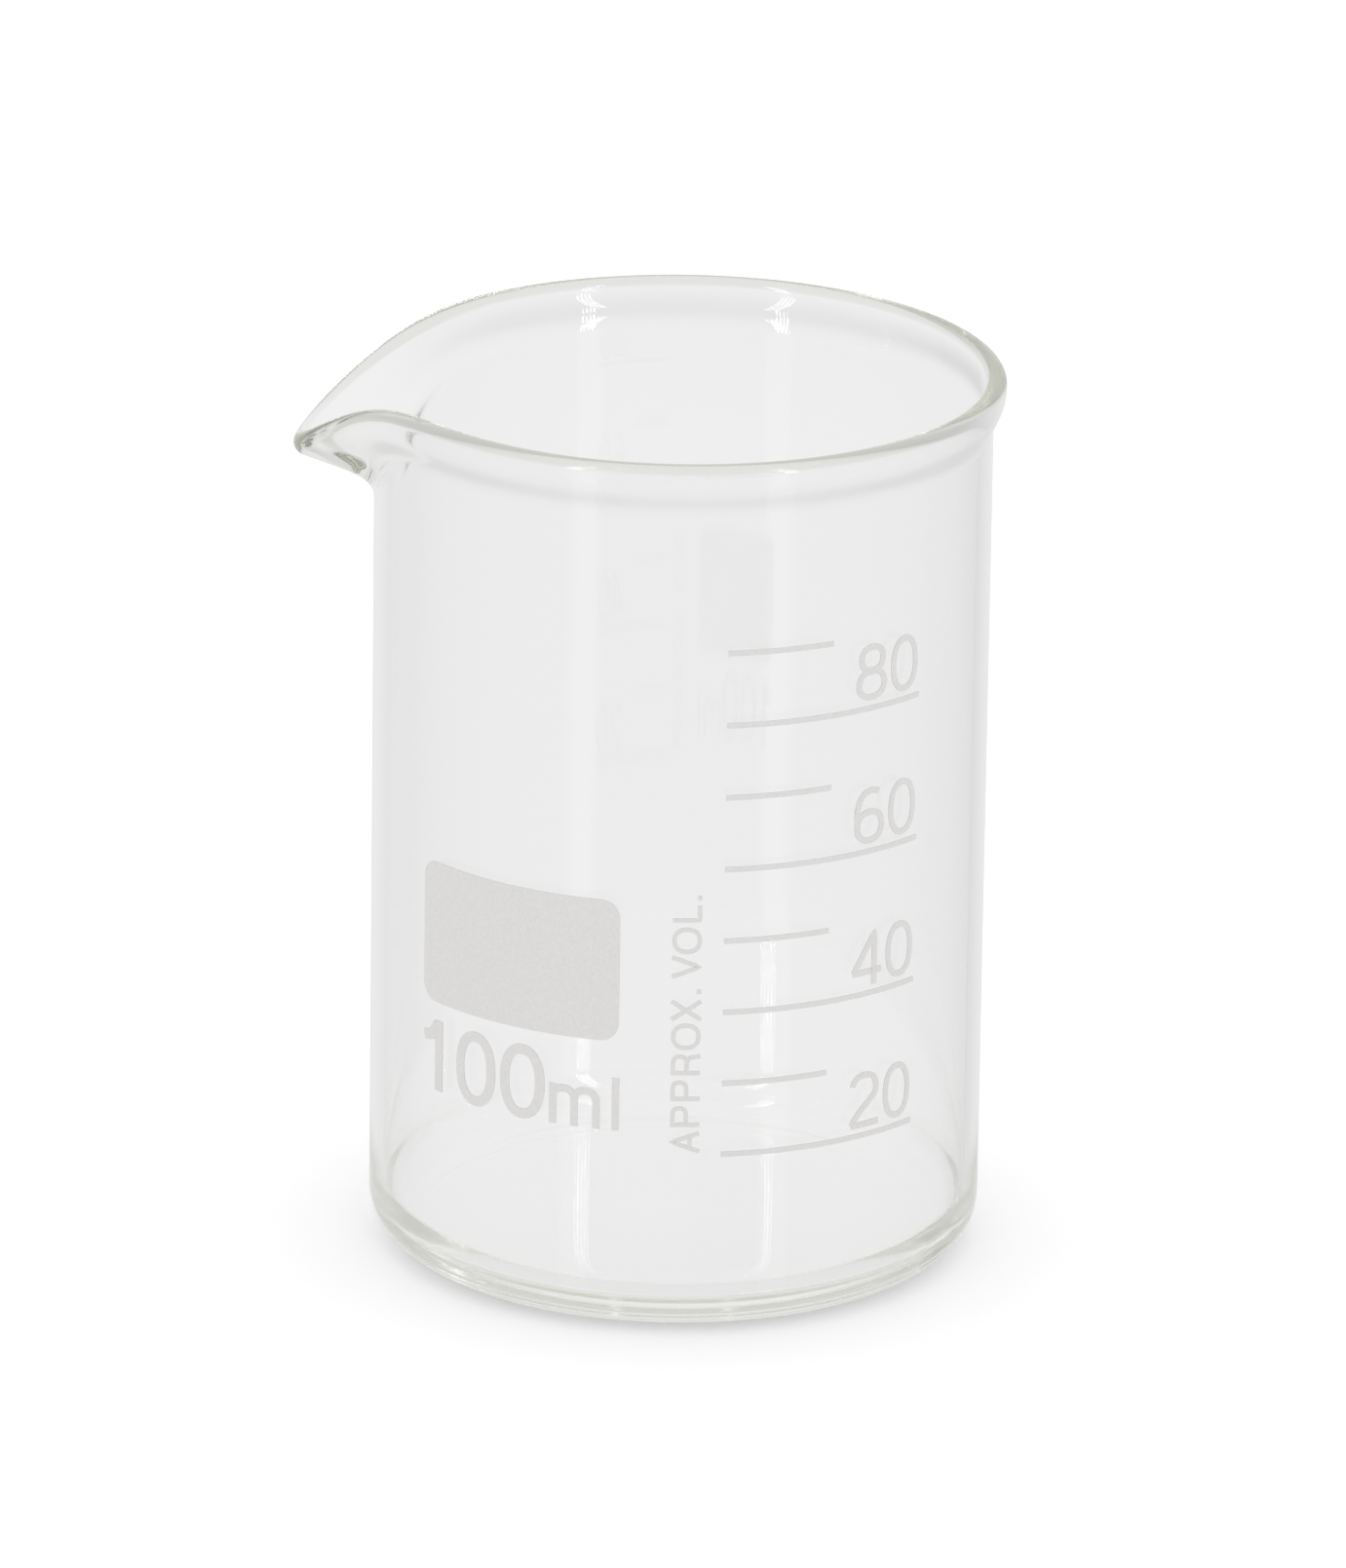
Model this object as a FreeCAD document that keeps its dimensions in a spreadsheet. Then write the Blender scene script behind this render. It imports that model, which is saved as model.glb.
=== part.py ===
"""A 100 ml low form beaker of clear borosilicate glass, with its fired-on enamel scale. Millimetres, +Z up.

The origin is the middle of the underside. The spout points along -X, and the scale is on the -Y side.
"""
import FreeCAD
import Part
import os
from math import cos, exp, pi, sin

import Sketcher

doc = FreeCAD.newDocument("LowFormBeaker")
Vector = FreeCAD.Vector

# Driving dimensions: alias, value, what it is
SIZES = [
    ("body_radius", 24.3, "outside radius of the straight wall"),
    ("wall", 1.2, "thickness of the straight wall"),
    ("height", 72.0, "foot to the top of the rim, away from the spout"),
    ("base_thickness", 2.4, "thickness of the floor"),
    ("heel_radius", 3.9, "outside radius between the base and the wall"),
    ("inner_heel_radius", 3.2, "inside radius between the floor and the wall"),
    ("collar_height", 14.0, "the top part of the wall that carries the rim and the spout"),
    ("bead_radius", 0.88, "radius of the fire polished bead along the rim"),
    ("rim_flare", 0.72, "how far the bead stands outside the middle of the wall"),
    ("flare_height", 3.72, "height from the end of the straight wall to the middle of the bead"),
    ("spout_reach", 5.5, "how far the bead is drawn out at the tip of the spout"),
    ("spout_drop", 6.7, "how far the bead sinks at the tip of the spout"),
    ("spout_depth", 11.06, "height over which the wall bends outwards at the spout"),
    ("spout_spread", 22.4, "degrees from the tip at which the reach has fallen to 1/e"),
    ("spout_slope", 16.5, "degrees at which the channel rises to its tip"),
    ("tip_bead_radius", 1.04, "radius of the bead at the tip of the spout"),
    ("enamel", 0.1, "thickness of the fired enamel"),
    ("mark_stroke", 0.45, "height of one line of the scale"),
    ("mark_start", 7.2, "round the wall from the front to the left end of each line"),
    ("long_mark", 17.4, "length of a long line round the wall"),
    ("short_mark", 8.65, "length of a short line round the wall"),
    ("first_mark", 15.3, "height of the 20 ml line"),
    ("mark_step", 5.9, "height between lines, 10 ml apart"),
    ("panel_middle", -10.2, "round the wall from the front to the middle of the writing panel"),
    ("panel_width", 18.6, "width of the writing panel round the wall"),
    ("panel_height", 11.65, "height of the writing panel"),
    ("panel_corner", 1.5, "radius of the writing panel's corners"),
    ("panel_bottom", 24.5, "height of the writing panel's lower edge"),
]
MARKS = 8
SPOUT_CREST = 1.2
# Half of the sector of the rim that the spout takes up, and where its outlines stand, in degrees
SPOUT_SECTOR = 70
SECTION_ANGLES = [-70, -69.6, -68.6, -66, *range(-60, 61, 5), 66, 68.6, 69.6, 70]
# The bead is drawn as a few short arcs, which keeps its mesh light
BEAD_ARCS = 4
JOIN_TOLERANCE = 0.001


def make_sheet():
    """The spreadsheet with one row for each driving dimension."""
    sheet = doc.addObject("Spreadsheet::Sheet", "sizes")
    for row, (alias, value, meaning) in enumerate(SIZES, start=1):
        sheet.set(f"A{row}", alias)
        sheet.set(f"B{row}", str(value))
        sheet.set(f"C{row}", meaning)
        sheet.setAlias(f"B{row}", alias)
    doc.recompute()
    return sheet


def origin_plane(body, role):
    """The named plane of a body's own origin."""
    return next(plane for plane in body.Origin.OriginFeatures if plane.Role == role)


def size_constraint(sketch, constraint, name, formula):
    """Adds a constraint with a name and binds its value to the sheet."""
    index = sketch.addConstraint(constraint)
    sketch.renameConstraint(index, name)
    sketch.setExpression(f"Constraints.{name}", formula)


def make_bowl():
    """The round bowl below the collar: one profile, turned about the upright axis."""
    body = doc.addObject("PartDesign::Body", "bowl")
    sketch = body.newObject("Sketcher::SketchObject", "bowl_profile")
    sketch.AttachmentSupport = [(origin_plane(body, "XZ_Plane"), "")]
    sketch.MapMode = "FlatFace"

    radius = sheet.body_radius
    inside = radius - sheet.wall
    top = sheet.height - sheet.collar_height
    floor = sheet.base_thickness
    heel = sheet.heel_radius
    inner_heel = sheet.inner_heel_radius
    line = Part.LineSegment
    heel_circle = Part.Circle(Vector(radius - heel, heel, 0), Vector(0, 0, 1), heel)
    inner_middle = Vector(inside - inner_heel, floor + inner_heel, 0)
    inner_circle = Part.Circle(inner_middle, Vector(0, 0, 1), inner_heel)
    foot, heel_arc, outer, rim, inner, inner_arc, bottom, axis = sketch.addGeometry([
        line(Vector(0, 0, 0), Vector(radius - heel, 0, 0)),
        Part.ArcOfCircle(heel_circle, -pi / 2, 0),
        line(Vector(radius, heel, 0), Vector(radius, top, 0)),
        line(Vector(radius, top, 0), Vector(inside, top, 0)),
        line(Vector(inside, top, 0), Vector(inside, floor + inner_heel, 0)),
        Part.ArcOfCircle(inner_circle, -pi / 2, 0),
        line(Vector(inside - inner_heel, floor, 0), Vector(0, floor, 0)),
        line(Vector(0, floor, 0), Vector(0, 0, 0)),
    ])
    start, end, origin = 1, 2, (-1, 1)
    constraint = Sketcher.Constraint
    sketch.addConstraint([
        constraint("Coincident", foot, start, *origin),
        constraint("Tangent", foot, end, heel_arc, start),
        constraint("Tangent", heel_arc, end, outer, start),
        constraint("Coincident", outer, end, rim, start),
        constraint("Coincident", rim, end, inner, start),
        constraint("Tangent", inner, end, inner_arc, end),
        constraint("Tangent", inner_arc, start, bottom, start),
        constraint("Coincident", bottom, end, axis, start),
        constraint("Coincident", axis, end, *origin),
        constraint("Horizontal", foot),
        constraint("Vertical", outer),
        constraint("Horizontal", rim),
        constraint("Vertical", inner),
        constraint("Horizontal", bottom),
        constraint("Vertical", axis),
    ])
    size_constraint(sketch, constraint("DistanceX", *origin, outer, end, radius), "radius",
                    "sizes.body_radius")
    size_constraint(sketch, constraint("DistanceX", rim, end, rim, start, sheet.wall), "wall", "sizes.wall")
    size_constraint(sketch, constraint("DistanceY", *origin, outer, end, top), "top",
                    "sizes.height - sizes.collar_height")
    size_constraint(sketch, constraint("DistanceY", *origin, bottom, end, floor), "floor",
                    "sizes.base_thickness")
    size_constraint(sketch, constraint("Radius", heel_arc, heel), "heel", "sizes.heel_radius")
    size_constraint(sketch, constraint("Radius", inner_arc, inner_heel), "inner_heel",
                    "sizes.inner_heel_radius")

    turned = body.newObject("PartDesign::Revolution", "bowl_turned")
    turned.Profile = sketch
    turned.ReferenceAxis = (sketch, ["V_Axis"])
    turned.Angle = 360
    doc.recompute()
    return body


def spout_share(angle):
    """How far the wall is drawn out, from 1 at the spout's tip to 0 at the edge of its sector."""
    spread = sheet.spout_spread
    edge = exp(-(SPOUT_SECTOR / spread) ** 2)
    return max(0, (exp(-(angle / spread) ** 2) - edge) / (1 - edge))


def blend(plain, spout, share):
    """A value between the plain rim's and the spout's."""
    return plain + (spout - plain) * share


def collar_section(degrees):
    """The collar's closed outline in the upright plane at this angle from the spout's tip.

    It runs up the outside, over the bead and down the inside.
    """
    share = spout_share(degrees)
    angle = degrees * pi / 180
    middle = sheet.body_radius - sheet.wall / 2
    bead = blend(sheet.bead_radius, sheet.tip_bead_radius, share)
    bead_level = sheet.height - sheet.bead_radius
    bead_reach = middle + sheet.rim_flare + sheet.spout_reach * share
    bead_height = bead_level - sheet.spout_drop * share ** SPOUT_CREST
    straight_end = bead_level - blend(sheet.flare_height, sheet.spout_depth, share)
    slope = blend(pi / 2, sheet.spout_slope * pi / 180, share)
    low_pull = blend(0.35, 0.29, share)
    high_pull = 0.5

    def at(radius, height):
        return Vector(-radius * cos(angle), radius * sin(angle), height)

    def flare(wall_radius, side):
        """The poles of the curve from the wall's end to the bead's side; side is 1 outside and -1 inside."""
        low = (wall_radius, straight_end)
        high = (bead_reach + side * bead * sin(slope), bead_height - side * bead * cos(slope))
        length = ((high[0] - low[0]) ** 2 + (high[1] - low[1]) ** 2) ** 0.5
        return [
            at(*low),
            at(low[0], low[1] + low_pull * length),
            at(high[0] - high_pull * length * cos(slope), high[1] - high_pull * length * sin(slope)),
            at(*high),
        ]

    def curve(poles):
        bezier = Part.BezierCurve()
        bezier.setPoles(poles)
        return bezier.toShape()

    def on_bead(turn):
        """A point of the bead; turn runs from 0 on its outer side to 1 on its inner side."""
        lift = slope + (turn - 0.5) * pi
        return at(bead_reach + bead * cos(lift), bead_height + bead * sin(lift))

    outer_flare = flare(sheet.body_radius, 1)
    inner_flare = flare(sheet.body_radius - sheet.wall, -1)[::-1]
    start = sheet.height - sheet.collar_height
    outer_start = at(sheet.body_radius, start)
    inner_start = at(sheet.body_radius - sheet.wall, start)
    bead_arcs = [
        Part.Arc(*[on_bead((arc + part) / BEAD_ARCS) for part in (0, 0.5, 1)]).toShape()
        for arc in range(BEAD_ARCS)
    ]
    return Part.Wire([
        Part.LineSegment(outer_start, outer_flare[0]).toShape(),
        curve(outer_flare),
        *bead_arcs,
        curve(inner_flare),
        Part.LineSegment(inner_flare[-1], inner_start).toShape(),
        Part.LineSegment(inner_start, outer_start).toShape(),
    ])


def make_spout():
    """The sector of the rim with the spout, lofted through its upright outlines."""
    spout = doc.addObject("Part::Feature", "spout")
    solid, ruled, closed = True, False, False
    spout.Shape = Part.makeLoft([collar_section(degrees) for degrees in SECTION_ANGLES], solid, ruled, closed)
    return spout


def make_plain_rim():
    """The rest of the rim: the outline at the sector's edge, turned round the back to its other edge."""
    rim = doc.addObject("Part::Feature", "plain_rim")
    outline = Part.Face(collar_section(SPOUT_SECTOR))
    rim.Shape = outline.revolve(Vector(0, 0, 0), Vector(0, 0, 1), 2 * SPOUT_SECTOR - 360)
    return rim


def make_beaker(bowl, spout, plain_rim):
    """One solid of glass: the bowl and the whole of its rim in one."""
    beaker = doc.addObject("Part::Feature", "beaker")
    beaker.Shape = bowl.Shape.fuse([spout.Shape, plain_rim.Shape], JOIN_TOLERANCE).Solids[0]
    return beaker


def make_marks():
    """The lines of the scale, one above the other: long for the even tens of millilitres, short between."""
    lines = []
    for mark in range(MARKS):
        outer = doc.addObject("Part::Cylinder", f"mark_{mark}_outer")
        inner = doc.addObject("Part::Cylinder", f"mark_{mark}_inner")
        outer.setExpression("Radius", "sizes.body_radius + sizes.enamel")
        inner.setExpression("Radius", "sizes.body_radius")
        length = "sizes.long_mark" if mark % 2 == 0 else "sizes.short_mark"
        for cylinder in (outer, inner):
            cylinder.setExpression("Height", "sizes.mark_stroke")
            cylinder.setExpression("Angle", f"{length} / sizes.body_radius * 180 / pi")
        line = doc.addObject("Part::Cut", f"mark_{mark}")
        line.Base = outer
        line.Tool = inner
        line.Placement.Rotation = FreeCAD.Rotation(Vector(0, 0, 1), -1)
        line.setExpression("Placement.Rotation.Angle", "sizes.mark_start / sizes.body_radius * 180 / pi - 90")
        line.setExpression("Placement.Base.z",
                           f"sizes.first_mark + {mark} * sizes.mark_step - sizes.mark_stroke / 2")
        lines.append(line)
    marks = doc.addObject("Part::Compound", "graduation_marks")
    marks.Links = lines
    return marks


def make_panel():
    """The writing panel: a strip turned part of the way round the wall, with rounded corners."""
    body = doc.addObject("PartDesign::Body", "writing_panel")
    sketch = body.newObject("Sketcher::SketchObject", "panel_section")
    sketch.AttachmentSupport = [(origin_plane(body, "XZ_Plane"), "")]
    sketch.MapMode = "FlatFace"
    inside = sheet.body_radius
    outside = inside + sheet.enamel
    low = sheet.panel_bottom
    high = low + sheet.panel_height
    outline = [(inside, low), (outside, low), (outside, high), (inside, high)]
    corners = [Vector(*corner, 0) for corner in outline]
    sides = sketch.addGeometry([
        Part.LineSegment(corners[side], corners[(side + 1) % 4]) for side in range(4)
    ])
    start, end, origin = 1, 2, (-1, 1)
    constraint = Sketcher.Constraint
    for side in range(4):
        sketch.addConstraint(constraint("Coincident", sides[side], end, sides[(side + 1) % 4], start))
        sketch.addConstraint(constraint("Horizontal" if side % 2 == 0 else "Vertical", sides[side]))
    lower_side, outer_side = sides[0], sides[1]
    size_constraint(sketch, constraint("DistanceX", *origin, lower_side, start, inside), "seat",
                    "sizes.body_radius")
    size_constraint(sketch, constraint("DistanceX", lower_side, start, lower_side, end, sheet.enamel),
                    "enamel", "sizes.enamel")
    size_constraint(sketch, constraint("DistanceY", *origin, lower_side, start, low), "bottom",
                    "sizes.panel_bottom")
    size_constraint(sketch, constraint("DistanceY", outer_side, start, outer_side, end, high - low),
                    "height", "sizes.panel_height")

    turned = body.newObject("PartDesign::Revolution", "panel_turned")
    turned.Profile = sketch
    turned.ReferenceAxis = (sketch, ["V_Axis"])
    turned.Midplane = True
    turned.setExpression("Angle", "sizes.panel_width / sizes.body_radius * 180 / pi")
    doc.recompute()

    thin_edges = [
        f"Edge{number}" for number, edge in enumerate(turned.Shape.Edges, start=1)
        if abs(edge.Length - sheet.enamel) < JOIN_TOLERANCE
    ]
    rounded = body.newObject("PartDesign::Fillet", "panel_corners")
    rounded.Base = (turned, thin_edges)
    rounded.setExpression("Radius", "sizes.panel_corner")
    body.Placement.Rotation = FreeCAD.Rotation(Vector(0, 0, 1), -1)
    body.setExpression("Placement.Rotation.Angle", "sizes.panel_middle / sizes.body_radius * 180 / pi - 90")
    doc.recompute()
    return body


def check_document(parts):
    """Stops with a message when an object failed or a sub-part isn't a good shape."""
    for item in doc.Objects:
        if "Invalid" in item.State or "Error" in item.State:
            raise RuntimeError(f"{item.Name} failed: {item.State}")
    for part in parts:
        if part.Shape.isNull() or not part.Shape.isValid():
            raise RuntimeError(f"{part.Label} has no valid shape")


sheet = make_sheet()
bowl = make_bowl()
parts = [make_beaker(bowl, make_spout(), make_plain_rim()), make_marks(), make_panel()]
doc.recompute()
check_document(parts)
os.makedirs("parts", exist_ok=True)
for part in parts:
    part.Shape.exportStep(f"parts/{part.Label}.step")
    print(part.Label, len(part.Shape.Solids), "solids", round(part.Shape.Volume, 2), "mm3")
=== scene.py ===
"""A 100 ml low form beaker: clear borosilicate glass with a fired-on enamel scale, in a pale studio."""
from math import cos, exp, pi, radians, sin

import bpy
from mathutils import Matrix, Vector


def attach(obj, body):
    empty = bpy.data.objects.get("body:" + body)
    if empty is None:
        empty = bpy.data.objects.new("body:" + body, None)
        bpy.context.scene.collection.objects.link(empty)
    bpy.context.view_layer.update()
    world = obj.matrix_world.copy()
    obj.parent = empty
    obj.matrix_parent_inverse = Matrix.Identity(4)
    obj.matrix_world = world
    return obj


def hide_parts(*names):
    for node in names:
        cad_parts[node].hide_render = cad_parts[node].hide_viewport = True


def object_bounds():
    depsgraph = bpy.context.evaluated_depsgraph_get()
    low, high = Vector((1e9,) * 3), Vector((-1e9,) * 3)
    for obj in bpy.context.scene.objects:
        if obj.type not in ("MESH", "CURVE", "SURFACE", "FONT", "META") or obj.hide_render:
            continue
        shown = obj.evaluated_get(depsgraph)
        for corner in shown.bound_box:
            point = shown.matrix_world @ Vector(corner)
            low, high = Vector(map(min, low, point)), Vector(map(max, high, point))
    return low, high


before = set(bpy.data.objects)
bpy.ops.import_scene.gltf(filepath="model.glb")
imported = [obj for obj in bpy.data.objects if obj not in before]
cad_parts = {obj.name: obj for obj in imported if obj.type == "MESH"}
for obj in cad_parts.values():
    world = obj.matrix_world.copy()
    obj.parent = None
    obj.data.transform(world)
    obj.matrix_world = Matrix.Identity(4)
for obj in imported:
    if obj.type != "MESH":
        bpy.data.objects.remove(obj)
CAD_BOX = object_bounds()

bl_info = {
    "name": "Low form beaker",
    "version": (1, 0, 0),
    "blender": (4, 5, 0),
    "location": "View3D > Sidebar > Beaker",
    "description": "Builds a glass beaker with a printed scale, and a pale studio around it",
    "category": "Object",
}

MM = 0.001

# The photograph's frame in its own pixels: height, focal length, and how far the aim lies from the centre
FRAME_HEIGHT = 1609
FRAME_FOCAL = 14594.5
FRAME_OFFSET = (5.62, 29.78)


def linear(hex_colour):
    """An sRGB hex colour as linear red, green, blue and full alpha."""
    channels = [int(hex_colour[place:place + 2], 16) / 255 for place in (0, 2, 4)]
    curved = [value / 12.92 if value <= 0.04045 else ((value + 0.055) / 1.055) ** 2.4 for value in channels]
    return curved + [1.0]


class GlassSizes(bpy.types.PropertyGroup):
    """Sizes and tint of the blown glass."""
    body_radius: bpy.props.FloatProperty(
        name="Body radius", description="Outside radius of the straight wall",
        default=24.3 * MM, unit="LENGTH")
    wall: bpy.props.FloatProperty(
        name="Wall", description="Thickness of the straight wall", default=1.2 * MM, unit="LENGTH")
    height: bpy.props.FloatProperty(
        name="Height", description="Foot to the top of the rim", default=CAD_BOX[1].z, unit="LENGTH")
    base: bpy.props.FloatProperty(
        name="Base", description="Thickness of the floor", default=2.4 * MM, unit="LENGTH")
    heel: bpy.props.FloatProperty(
        name="Heel", description="Outside radius between base and wall", default=3.9 * MM, unit="LENGTH")
    inner_heel: bpy.props.FloatProperty(
        name="Inner heel", description="Inside radius between floor and wall",
        default=3.2 * MM, unit="LENGTH")
    bead: bpy.props.FloatProperty(
        name="Bead", description="Radius of the bead along the rim", default=0.88 * MM, unit="LENGTH")
    tip_bead: bpy.props.FloatProperty(
        name="Tip bead", description="Radius of the bead at the spout's tip",
        default=1.04 * MM, unit="LENGTH")
    rim_flare: bpy.props.FloatProperty(
        name="Rim flare", description="How far the bead stands outside the middle of the wall",
        default=0.72 * MM, unit="LENGTH")
    flare_height: bpy.props.FloatProperty(
        name="Flare height", description="Height over which the wall turns out to the bead",
        default=3.72 * MM, unit="LENGTH")
    spout_reach: bpy.props.FloatProperty(
        name="Spout reach", description="How far the bead is drawn out at the tip",
        default=5.5 * MM, unit="LENGTH")
    spout_drop: bpy.props.FloatProperty(
        name="Spout drop", description="How far the bead sinks at the tip", default=6.7 * MM, unit="LENGTH")
    spout_depth: bpy.props.FloatProperty(
        name="Spout depth", description="Height over which the wall bends out at the spout",
        default=11.06 * MM, unit="LENGTH")
    spout_spread: bpy.props.FloatProperty(
        name="Spout spread", description="Angle from the tip at which the reach has fallen to 1/e",
        default=radians(22.4), subtype="ANGLE")
    spout_slope: bpy.props.FloatProperty(
        name="Spout slope", description="Angle at which the channel rises to its tip",
        default=radians(16.5), subtype="ANGLE")
    tint: bpy.props.FloatVectorProperty(
        name="Tint", description="Colour that a thick path through the glass takes on",
        default=linear("DDDFCE")[:3], subtype="COLOR", size=3, min=0.0, max=1.0)


class PrintSizes(bpy.types.PropertyGroup):
    """Sizes and colour of the enamel print, in lengths round the wall from the front and up from the foot."""
    thickness: bpy.props.FloatProperty(
        name="Thickness", description="Thickness of the fired enamel", default=0.05 * MM, unit="LENGTH")
    stroke: bpy.props.FloatProperty(
        name="Stroke", description="Width of a line of the scale", default=0.45 * MM, unit="LENGTH")
    mark_start: bpy.props.FloatProperty(
        name="Mark start", description="Left end of every line", default=7.2 * MM, unit="LENGTH")
    long_mark: bpy.props.FloatProperty(
        name="Long mark", description="Length of the lines at even tens", default=17.4 * MM, unit="LENGTH")
    short_mark: bpy.props.FloatProperty(
        name="Short mark", description="Length of the lines between", default=8.65 * MM, unit="LENGTH")
    first_mark: bpy.props.FloatProperty(
        name="First mark", description="Height of the 20 ml line", default=15.3 * MM, unit="LENGTH")
    mark_step: bpy.props.FloatProperty(
        name="Mark step", description="Height between lines 10 ml apart", default=5.9 * MM, unit="LENGTH")
    number_height: bpy.props.FloatProperty(
        name="Number height", description="Height of the numbers of the scale",
        default=4.6 * MM, unit="LENGTH")
    volume_height: bpy.props.FloatProperty(
        name="Volume height", description="Height of the large number", default=6.0 * MM, unit="LENGTH")
    panel_middle: bpy.props.FloatProperty(
        name="Panel middle", description="Middle of the writing panel", default=-10.2 * MM, unit="LENGTH")
    panel_width: bpy.props.FloatProperty(
        name="Panel width", description="Width of the writing panel", default=18.6 * MM, unit="LENGTH")
    panel_height: bpy.props.FloatProperty(
        name="Panel height", description="Height of the writing panel", default=11.65 * MM, unit="LENGTH")
    panel_bottom: bpy.props.FloatProperty(
        name="Panel bottom", description="Lower edge of the writing panel", default=24.5 * MM, unit="LENGTH")
    panel_corner: bpy.props.FloatProperty(
        name="Panel corner", description="Radius of the panel's corners", default=1.5 * MM, unit="LENGTH")
    note_baseline: bpy.props.FloatProperty(
        name="Note baseline", description="Right edge of the upright note",
        default=5.49 * MM, unit="LENGTH")
    note_bottom: bpy.props.FloatProperty(
        name="Note bottom", description="Height at which the upright note starts",
        default=15.44 * MM, unit="LENGTH")
    note_height: bpy.props.FloatProperty(
        name="Note height", description="Height of the note's letters", default=2.3 * MM, unit="LENGTH")
    enamel: bpy.props.FloatVectorProperty(
        name="Enamel", description="Colour of the fired enamel",
        default=linear("D8D7D5")[:3], subtype="COLOR", size=3, min=0.0, max=1.0)


class StudioSettings(bpy.types.PropertyGroup):
    """The camera's place and the studio light."""
    elevation: bpy.props.FloatProperty(
        name="Elevation", description="Camera above the horizon", default=radians(19.491), subtype="ANGLE")
    azimuth: bpy.props.FloatProperty(
        name="Azimuth", description="Camera round to the right of the front",
        default=radians(8.3), subtype="ANGLE")
    roll: bpy.props.FloatProperty(
        name="Roll", description="Camera turned about its own axis", default=radians(0.816), subtype="ANGLE")
    distance: bpy.props.FloatProperty(
        name="Distance", description="Camera to the point it looks at", default=1126.5 * MM, unit="LENGTH")
    aim_height: bpy.props.FloatProperty(
        name="Aim height", description="Height of the point the camera looks at",
        default=35 * MM, unit="LENGTH")
    strip_angle: bpy.props.FloatProperty(
        name="Strip angle", description="Groups of tubes left and right of the camera",
        default=radians(38), subtype="ANGLE")
    strip_strength: bpy.props.FloatProperty(
        name="Strip strength", description="Brightness of one tube", default=10.0)
    low_strip_strength: bpy.props.FloatProperty(
        name="Low strip strength", description="Brightness of a strip light below the table", default=0.25)
    seen_through: bpy.props.FloatProperty(
        name="Seen through", description="Brightness of the backdrop and table behind the glass",
        default=0.886)


def add_node(tree, kind, settings=None, links=None, stops=()):
    """A node with its settings (attributes, or sockets by name or number), links and a ramp's grey stops."""
    node = tree.nodes.new(kind)
    for name, value in (settings or {}).items():
        if isinstance(name, str) and hasattr(node, name):
            setattr(node, name, value)
        else:
            node.inputs[name].default_value = value
    for name, source in (links or {}).items():
        tree.links.new(source, node.inputs[name])
    for place, (position, level) in enumerate(stops):
        elements = node.color_ramp.elements
        element = elements[place] if place < 2 else elements.new(position)
        element.position = position
        element.color = (level, level, level, 1)
    return node


def new_material(name):
    """An empty node material and its tree."""
    material = bpy.data.materials.new(name)
    material.use_nodes = True
    material.node_tree.nodes.clear()
    return material, material.node_tree


def new_object(name, vertices, faces, material, smooth=True):
    """A mesh object with one material. It stays at the origin, with its place in its mesh."""
    mesh = bpy.data.meshes.new(name)
    mesh.from_pydata(vertices, [], faces)
    mesh.update()
    mesh.polygons.foreach_set("use_smooth", [smooth] * len(mesh.polygons))
    mesh.materials.append(material)
    piece = bpy.data.objects.new(name, mesh)
    bpy.context.scene.collection.objects.link(piece)
    return piece


# Glass

# Upright sections round the glass, and steps along each stretch of a section
GLASS_STEPS = 320
FLOOR_STEPS = 12
HEEL_STEPS = 14
INNER_HEEL_STEPS = 12
WALL_STEPS = 22
FLARE_STEPS = 16
CROWN_STEPS = 14

# How long the flare's curve keeps its first and last direction, as shares of its run
LOW_PULL = 0.35
SPOUT_LOW_PULL = 0.29
HIGH_PULL = 0.5

# The bead sinks over a slightly narrower stretch than it is drawn out over
DROP_POWER = 1.2

# Painted shade on the bead's upper side: where it starts and over what it grows, in bead radii, and its loss
# at the tip
BEAD_SHADE_START = 0.2
BEAD_SHADE_FADE = 0.3
BEAD_SHADE_TIP_LOSS = 0.6


def arc(middle, radius, start, end, steps):
    """Points along a circle from one angle to another, both ends included."""
    return [
        (middle[0] + radius * cos(start + (end - start) * step / steps),
         middle[1] + radius * sin(start + (end - start) * step / steps))
        for step in range(steps + 1)
    ]


def line(start, end, steps):
    """Evenly spaced points from start to end, both included."""
    return [
        (start[0] + (end[0] - start[0]) * step / steps, start[1] + (end[1] - start[1]) * step / steps)
        for step in range(steps + 1)
    ]


def bezier(poles, steps):
    """Points along a cubic curve with these four poles, both ends included."""
    points = []
    for step in range(steps + 1):
        share = step / steps
        weights = ((1 - share) ** 3, 3 * (1 - share) ** 2 * share, 3 * (1 - share) * share ** 2, share ** 3)
        points.append(tuple(
            sum(weight * pole[axis] for weight, pole in zip(weights, poles)) for axis in (0, 1)))
    return points


def blend(plain, spout, share):
    """A value between the plain rim's and the spout's."""
    return plain + (spout - plain) * share


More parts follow.
